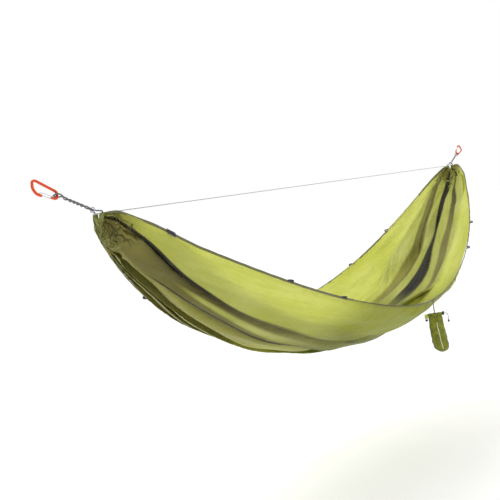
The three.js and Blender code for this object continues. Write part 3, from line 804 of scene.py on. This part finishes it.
# ---- edge bindings ----
def binding(name, across, node):
    start = 0.0045
    crowd = np.linspace(0, 1, 420)
    t = start + (1 - 2 * start) * (0.5 * (0.5 - 0.5 * np.cos(pi * crowd)) + 0.5 * crowd)
    share = (across + 1) / 2
    line = fuller(bed_point(t, across), t, share)
    inner = fuller(bed_point(t, across * 0.985), t, share)
    down = unit(inner - line)
    wave = 0.0006 * np.sin(2 * pi * (46 * t + 0.8 * np.sin(9 * t)))
    line = line + down * 0.0016
    line[:, 1] += wave
    ahead = unit(np.gradient(line, axis=0))
    face = unit(np.cross(ahead, down))
    grid = rings(line, round_section(0.0038, 20, 0.42, 3.0), down, face)
    obj = skin(name, grid, lengths(line), caps=True)
    return finish_piece(obj, BINDING, "hammock", "edging", node)


binding("near_hem_tape", -1, "near_edge_binding")
binding("far_hem_tape", 1, "far_edge_binding")


# ---- end channels and suspension rope ----
PULL = np.array([cos(HANG_ANGLE), 0, -sin(HANG_ANGLE)])
RISE = np.array([sin(HANG_ANGLE), 0, cos(HANG_ANGLE)])
GATE_SIDE = -cos(CARABINER_ROLL) * RISE + np.array([0, -sin(CARABINER_ROLL), 0])
FACE_OUT = np.cross(PULL, GATE_SIDE)
ROPE_SEAT = PULL * CARABINER_SPAN
HEM_LINE = bed_point(0.005 / RIDGE, np.linspace(-1, 1, 241))
CHANNEL_LINE = picked(HEM_LINE, np.linspace(0.002, lengths(HEM_LINE)[-1] - 0.002, 13))


def rope_route():
    eye_half, eye_end, twist_start, twist_end = 0.0084, 0.012, 0.034, ROPE_REACH - 0.020
    twist_radius = ROPE_RADIUS + 0.00035
    eye_angle = np.arctan2(FACE_OUT @ RISE, FACE_OUT[1])

    def strand(far):
        start = eye_angle + (0 if far else pi)
        sweep_angle = (0 if far else pi) + 6 * pi - start
        points = []
        for along in np.linspace(eye_end, twist_end, 31):
            radius = eye_half + (twist_radius - eye_half) * smoothstep(along, eye_end, twist_start)
            angle = start + sweep_angle * smoothstep(along, eye_end - 0.004, twist_end)
            across = np.array([0, radius * np.cos(angle), 0]) + RISE * radius * np.sin(angle)
            points.append(ROPE_SEAT + PULL * along + across)
        return points

    def eye(across, along):
        return ROPE_SEAT + PULL * along + FACE_OUT * across

    def legs(end, following, side):
        lead = end - unit(following - end) * 0.0045
        return [np.array([GATHER_X - 0.008, side * 0.006, GATHER_Z + 0.003]), lead]

    inset = -(ROPE_RADIUS + 0.0008)
    near_legs = legs(CHANNEL_LINE[0], CHANNEL_LINE[1], -1)
    far_legs = legs(CHANNEL_LINE[-1], CHANNEL_LINE[-2], 1)
    half = [(0.0043, inset), (0.0074, inset + 0.0015), (0.0086, 0.003)]
    return np.array([
        eye(0, inset), *(eye(x, along) for x, along in half),
        *strand(True), *far_legs, *CHANNEL_LINE[::-1], *near_legs[::-1], *strand(False)[::-1],
        *(eye(-x, along) for x, along in half[::-1]),
    ])


ROPE_LINE = spline(rope_route(), 700, loop=True)


def end_channel(name, flip, node):
    """The sewn end of the cloth, drawn up in tight ruffles on the rope."""
    rows, cols = 420, 40
    line = flip(spline(CHANNEL_LINE, rows))
    side, lift = carried(line, up=(1.0, 0, 0.2))
    s = np.linspace(0, 1, rows)[:, None]
    angle = turns(cols)
    twist = .35 * np.sin(3 * angle + 9 * s) + .25 * np.sin(5 * angle - 17 * s)
    ruffle = np.abs(np.sin(pi * (27 * s + 1.4 * np.sin(5 * s) + twist * .5))) ** .7
    wander = np.sin(2 * pi * (4.3 * s) + 2 * angle)
    radius = .0049 + .0030 * ruffle * (.85 + .25 * wander) * (.8 + .2 * np.cos(angle + 4 * s))
    radius = radius * (1 - .35 * np.exp(-s / .012) - .35 * np.exp(-(1 - s) / .012))
    grid = line[:, None] + radius[..., None] * (
        np.cos(angle)[..., None] * side[:, None] + np.sin(angle)[..., None] * lift[:, None])
    obj = skin(name, grid, lengths(line))
    return finish_piece(obj, CHANNEL_CLOTH, "hammock", "ripstop", node)


for label, flip in (("left", np.array), ("right", mirror_x)):
    end_channel(f"{label}_gathered_channel", flip, f"{label}_end_channel")
    rope = sweep(f"{label}_rope", flip(ROPE_LINE), round_section(ROPE_RADIUS, 16), loop=True)
    finish_piece(rope, ROPE, "hammock", "grey_cord", f"{label}_rope_loop")


# ---- ridgeline, its rings and knots ----
RING_AT = ROPE_SEAT + PULL * (ROPE_REACH - 0.016)
KNOT_AT = np.array([RING_AT[0] + 0.0036, 0, RING_AT[2] - 0.0117])
LINE_RADIUS = 0.00125


def ridgeline():
    """A trefoil knot and a ring round the rope at each end, with the line between the knots."""
    ring_radius, knot_size, knot_reach = 0.0071, 0.00085, 0.0026
    angle = turns(96)[:, None]
    ring = RING_AT + ring_radius * (np.cos(angle) * np.array([0, 1, 0]) + np.sin(angle) * RISE)
    loop = turns(120)
    knot = np.stack([
        knot_size * (np.sin(loop) + 1.25 * np.sin(2 * loop)),
        knot_size * (np.cos(loop) - 1.25 * np.cos(2 * loop)),
        -knot_size * np.sin(3 * loop),
    ], -1) + KNOT_AT
    for label, flip in (("left", np.array), ("right", mirror_x)):
        obj = sweep(f"{label}_line_ring", flip(ring), round_section(LINE_RADIUS, 12), loop=True)
        finish_piece(obj, LINE, "hammock", "pale_cord", f"{label}_ridgeline_ring")
        obj = sweep(f"{label}_line_knot", flip(knot), round_section(0.0012, 12), loop=True)
        finish_piece(obj, LINE, "hammock", "pale_cord", f"{label}_ridgeline_knot")
    first = KNOT_AT + np.array([knot_reach, 0, 0])
    line = np.linspace(first, mirror_x(first), 400)
    obj = sweep("ridge_line", line, round_section(LINE_RADIUS, 12))
    finish_piece(obj, LINE, "hammock", "pale_cord", "ridgeline")


ridgeline()


# ---- gear loops and label on the edges ----
def ribbon(name, line, out, wide, thick, material, body, slot, *nodes):
    """A flat strip whose width lies along out."""
    outline = round_section(wide / 2, 20, thick / wide, 5.0)
    line = np.asarray(line, float)
    tangent = unit(np.gradient(line, axis=0))
    across = unit(out - tangent * np.sum(tangent * out, -1, keepdims=True))
    grid = rings(line, outline, across, np.cross(tangent, across))
    obj = skin(name, grid, lengths(line), caps=True)
    return finish_piece(obj, material, body, slot, *nodes)


def gear_loop(name, station, across, node):
    base = bed_point(station, across)
    ahead = unit(bed_point(station + 0.004, across) - bed_point(station - 0.004, across))
    out = np.array([0, np.sign(across), 0])
    half = [(-7.5, -3.0), (-7.8, 1.5), (-7.6, 5), (-5.6, 8.6)]
    arch = half + [(0, 10.3)] + [(-x, y) for x, y in half[::-1]]
    points = [base + ahead * x / 1000 + out * (0.0042 + y / 1000) for x, y in arch]
    ribbon(name, spline(points, 48), np.cross(ahead, out), 0.0056, 0.0011, WEBBING,
           "hammock", "black_webbing", node)


for edge, across, stations in (("near", -1, (0.187, 0.272)), ("far", 1, (0.15, 0.255))):
    for k, station in enumerate(stations, 1):
        for end, at in (("left", station), ("right", 1 - station)):
            gear_loop(f"{edge}_{end}_webbing_loop_{k}", at, across, f"{edge}_{end}_gear_loop_{k}")


def edge_label():
    """A blank woven label, folded over the near edge."""
    reach = 0.012 / RIDGE
    places = np.array([0.05 - reach, 0.05 + reach])
    ends = fuller(bed_point(places, -1), places, 0) + np.array([0, -0.0042, 0])
    across = np.linspace(0, 1, 40)[:, None, None]
    down = np.linspace(0, 1, 24)[None, :, None]
    base = ends[0] * (1 - across) + ends[1] * across
    drop = np.array([0, 0, 0.003]) + np.array([0, 0, -0.014]) * down
    front = base + drop + np.array([0, -0.0005, 0]) * (1 + .6 * np.sin(3 * across + 2 * down))
    back = base + drop + np.array([0, 0.0005, 0])
    grid = np.concatenate([front, back[:, ::-1]], 1)
    obj = skin("woven_label", grid, np.linspace(0, .024, 40), caps=True)
    return finish_piece(obj, LABEL, "hammock", "black_webbing", "edge_label")


def label_cloth():
    s = Shader("woven_label_cloth")
    u, v, _ = s.axes(s.uv)
    weave = s.times(s.wave(u, 44), s.wave(v, 1 / 0.0007))
    inset = s.from_middle(u)
    border = s.times(s.ramp(inset, 0.36, 0.38), s.ramp(inset, 0.42, 0.44, 1.0, 0.0))
    base = s.mix(s.ramp(weave, 0.0, 0.8), rgb(20, 20, 22), rgb(40, 41, 44))
    base = s.mix(s.times(border, 0.8), base, rgb(150, 152, 150))
    return s.surface(base, 0.6, s.bump(weave, 0.0001, 0.5))


LABEL = label_cloth()
edge_label()


# ---- carabiners ----
def bezier(start, one, two, end, count):
    x = np.linspace(0, 1, count)[:, None]
    y = 1 - x
    return y ** 3 * start + 3 * y ** 2 * x * one + 3 * y * x ** 2 * two + x ** 3 * end


def bar_line():
    """The bar's middle line in its own plane, from the gate's hinge round to the nose."""
    parts = [
        np.linspace((59.5, 13.2), (67, 13.2), 10),
        bezier((67, 13.2), (75, 13.2), (81.2, 10), (81.2, 4), 24),
        np.linspace((81.2, 4), (81.2, -4), 10),
        bezier((81.2, -4), (81.2, -9), (76, -9.4), (69, -10), 24),
        np.linspace((69, -10), (13, -15), 40),
        bezier((13, -15), (3, -15.8), (-3.2, -12), (-3.2, -4), 24),
        np.linspace((-3.2, -4), (-3.2, 4), 10),
        bezier((-3.2, 4), (-3.2, 10), (5, 20.5), (17, 20.5), 28),
        np.linspace((17, 20.5), (28, 19.8), 14),
    ]
    line = np.concatenate([parts[0]] + [part[1:] for part in parts[1:]]) / 1000
    return np.concatenate([line, np.zeros((len(line), 1))], 1)


def set_out(points, seat, along, gate_way):
    """Points from a carabiner's own plane, put in the row frame."""
    out = np.cross(along, gate_way)
    points = np.asarray(points, float)
    return seat + points[..., :1] * along + points[..., 1:2] * gate_way + points[..., 2:3] * out


def carabiner(label, seat, along, gate_way, gate_body):
    line = bar_line()
    total = lengths(line)
    from_end = np.minimum(total, total[-1] - total)
    size = np.sqrt(np.clip(1 - (1 - np.clip(from_end / 0.0030, 0, 1)) ** 2, 0.02, 1))
    outline = round_section(0.0032, 28, 1.08, 2.6)
    bar = set_out(line, seat, along, gate_way)
    body = sweep(f"{label}_carabiner_bar", bar, outline, up=np.cross(along, gate_way), scale=size)
    finish_piece(body, ORANGE, "carabiners", "anodised_orange", f"{label}_carabiner_body")
    half = [(63.5, 13.2, 1.8), (63.5, 13.2, 4.4), (62.9, 13.2, 5.1), (61.5, 13.3, 5.3),
            (45, 14.2, 5.3), (25, 15.2, 5.3), (19.6, 15.5, 3.7)]
    wire = np.array(half + [(18.4, 15.6, 0)] + [(x, y, -z) for x, y, z in half[::-1]]) / 1000
    wire = set_out(spline(wire, 220), seat, along, gate_way)
    gate = sweep(f"{label}_carabiner_wire", wire, round_section(0.0009, 14))
    finish_piece(gate, STEEL, gate_body, "steel_wire", f"{label}_carabiner_gate")


carabiner("left", np.zeros(3), PULL, GATE_SIDE, "left_gate")
carabiner("right", np.array([ANCHOR_SPAN, 0, 0]), np.array([-PULL[0], 0, PULL[2]]),
          np.array([GATE_SIDE[0], -GATE_SIDE[1], -GATE_SIDE[2]]), "right_gate")


# ---- stuff sack ----
def hanging_strap():
    x, y, z = SACK_PIVOT
    points = [(x, y - 0.001, z - 0.0005), (x, y - 0.0012, z - 0.014), (x, y - 0.0006, z - 0.030),
              (x, y - 0.001, z - 0.042), (x, y - 0.001, z - 0.0486)]
    ribbon("hanging_strap", spline(points, 90), (1, 0, 0), 0.009, 0.0016, BINDING, "sack_hanger",
           "edging", "sack_strap")


hanging_strap()

SACK_LENGTH = 0.1416
SACK_ACROSS = sack_place((1, 0, 0)) - SACK_TOP
SACK_WIDTH = np.polyfit([0, .25, .5, .75, 1], [25, 26, 28, 28.5, 24], 4)
SACK_DEPTH = np.polyfit([0, .25, .5, .75, 1], [9, 15, 19.5, 21, 18], 4)


def sack_point(share, angle, proud=0.0):
    """A point of the sack's skin: share from mouth to closed end, angle from its right side."""
    share, angle = np.broadcast_arrays(np.asarray(share, float), np.asarray(angle, float))
    end = np.sqrt(np.maximum(1 - np.maximum((share - .84) / .16, 0) ** 2, 0))
    wide = np.polyval(SACK_WIDTH, share) * end / 1000
    deep = np.polyval(SACK_DEPTH, share) * end / 1000
    gather = np.exp(-share / .16) * .0013 * np.sin(15 * angle + 2.2 * np.sin(3 * angle))
    slack = .0011 * np.sin(5 * angle + 7 * share + 1.1) * np.sin(9 * share + 2 * angle)
    slack = slack + .0008 * np.sin(11 * share * pi + 3 * angle) * smoothstep(share, .1, .4)
    slack = slack + .0010 * np.exp(-(1 - share) / .12) * np.sin(9 * angle)
    swell = proud + (gather + slack) * (1 - smoothstep(share, .97, 1))
    x = np.cos(angle) * (wide + swell) + SACK_BEND * share ** 2
    y = np.sin(angle) * (deep + swell)
    z = -.0104 - share * SACK_LENGTH + proud * -.6 * smoothstep(share, .9, 1)
    return sack_place(np.stack([x, y, z], -1))


def stuff_sack():
    rows, cols = 120, 144
    share = np.linspace(0, 1, rows)[:, None]
    share = 1 - (1 - share) ** 1.35
    body = skin("sack_shell", sack_point(share, turns(cols)), share[:, 0] * SACK_LENGTH)
    finish_piece(body, SACK_CLOTH, "stuff_sack", "sack_cloth", "sack_body")
    bpy.context.view_layer.objects.active = body
    thick = body.modifiers.new("cloth", "SOLIDIFY")
    thick.thickness = 0.0006
    thick.offset = -1

    angle = turns(192)
    ruffle = .0012 * np.sin(17 * angle + 1.5 * np.sin(4 * angle)) + .0005 * np.sin(31 * angle)
    profile = [(-.0004, -.0100), (.0003, -.0078), (-.0006, -.0062), (.0005, -.0042),
               (.0004, -.0018), (-.0008, -.0002), (-.0030, .0000), (-.0040, -.0012),
               (-.0040, -.0090), (-.0026, -.0100)]
    grid = []
    for inset, height in profile:
        wide, deep = COLLAR_WIDE + inset + ruffle * .8, COLLAR_DEEP + inset + ruffle * .8
        lip = height + (.0006 * np.sin(9 * angle) if height > -.003 else 0)
        grid.append(np.stack([np.cos(angle) * wide, np.sin(angle) * deep, lip + 0 * angle], -1))
    along = np.linspace(0, .04, len(profile) + 1)
    ring = skin("sack_collar_band", sack_place(grid), along, loop=True)
    finish_piece(ring, SACK_CLOTH, "stuff_sack", "sack_cloth", "sack_collar")

    seam = [.03, .12, .2, .3, .4, .5, .6, .7, .78, .84, .89, .93, .96, .985]
    right, left = ([sack_point(share, side, .0008) for share in seam] for side in (0.0, pi))
    bottom = sack_place((SACK_BEND, 0, -.1529))
    line = spline(right + [bottom] + left[::-1], 260)
    pipe = sweep("sack_seam_piping", line, round_section(.0010, 12))
    finish_piece(pipe, BLACK_CORD, "stuff_sack", "black_webbing", "sack_piping")

    front = np.array([sack_point(share, 1.5 * pi, .0004) for share in np.linspace(.17, .91, 80)])
    ribbon("sack_stripe", front, SACK_ACROSS, .0032, .0006, TRIM, "stuff_sack", "reflective_trim",
           "sack_reflective_stripe")


stuff_sack()


def sack_tabs():
    side = -(COLLAR_WIDE + .0004 + .0065)
    rows = np.linspace(0, 1, 30)[:, None]
    cols = np.linspace(-1, 1, 22)[None, :]
    drop = -.0005 - .018 * rows
    across = side + .0064 * cols * (1 - .10 * np.sin(pi * rows)) + 0 * rows
    wave = .0006 * np.sin(5 * rows + 3 * cols)
    front = np.stack([across, wave - .0004, drop + 0 * cols], -1)
    back = front + (0, .0009, 0)
    grid = sack_place(np.concatenate([front, back[:, ::-1]], 1))
    ear = skin("sack_ear_loop", grid, np.linspace(0, .018, 30), caps=True)
    finish_piece(ear, TAB_CLOTH, "stuff_sack", "ripstop", "sack_ear_tab")
    line = sack_place(np.linspace((side, 0, -.0200), (side, 0, -.0280), 24))
    ends = np.minimum(np.linspace(0, 1, 24), np.linspace(1, 0, 24))
    ribs = np.sin(np.linspace(0, 8 * pi, 24)) > 0
    size = .72 + .28 * np.sqrt(np.clip(ends / .2, 0, 1)) - .05 * ribs
    pull = sweep("sack_pull_grip", line, round_section(.005, 28, .22, 4.0),
                 up=np.cross((0, 0, 1), SACK_ACROSS), scale=size)
    finish_piece(pull, PLASTIC, "stuff_sack", "black_plastic", "sack_pull_tab")


sack_tabs()


# ---- finishes of the carried-over nodes ----
SOLID_CORD = plain_cloth("drawcord_weave", rgb(46, 47, 50), rgb(16, 16, 18), 0, 3.0, .0008)
for node, material in (("sack_drawcord", SOLID_CORD), ("cord_lock_body", PLASTIC),
                       ("cord_lock_plunger", PLASTIC), ("cord_lock_spring", STEEL)):
    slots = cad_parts[node].data.materials
    slots.clear()
    slots.append(material)


# ---- floor, world and lights ----
def stage():
    s = Shader("pale_floor")
    grain = s.noise(s.place, 3.0, 3.0)
    base = s.mix(s.ramp(grain, 0.3, 0.7), (0.93, 0.93, 0.93, 1), (0.96, 0.96, 0.96, 1))
    floor_paint = s.surface(base, 0.8, Specular_IOR_Level=0.1,
                            Emission_Color=(1, 1, 1, 1), Emission_Strength=0.10)
    reach, depth = 40.0, -1.3
    corners = [(x * reach, y * reach, depth) for x, y in ((-1, -1), (1, -1), (1, 1), (-1, 1))]
    floor = add_mesh("floor", corners, [(0, 1, 2, 3)], [(0, 0), (1, 0), (1, 1), (0, 1)], False)
    floor.data.materials.append(floor_paint)
    world = bpy.data.worlds.new("studio")
    bpy.context.scene.world = world
    world.use_nodes = True
    background = world.node_tree.nodes["Background"]
    background.inputs["Color"].default_value = (1, 1, 1, 1)
    background.inputs["Strength"].default_value = 1.0
    for name, place, aim, size, power in (
        ("overhead_softbox", (1.6, 1.2, 2.6), (1.6, 0, -0.5), 3.0, 40),
        ("front_softbox", (-1.2, -3.2, 1.6), (1.4, 0, -0.5), 2.4, 30),
    ):
        lamp = bpy.data.lights.new(name, "AREA")
        lamp.shape = "SQUARE"
        lamp.size = size
        lamp.energy = power
        obj = add_object(name, lamp)
        obj.location = place
        obj.rotation_euler = (Vector(aim) - Vector(place)).to_track_quat("-Z", "Y").to_euler()
    bpy.context.scene.view_settings.view_transform = "Standard"


stage()
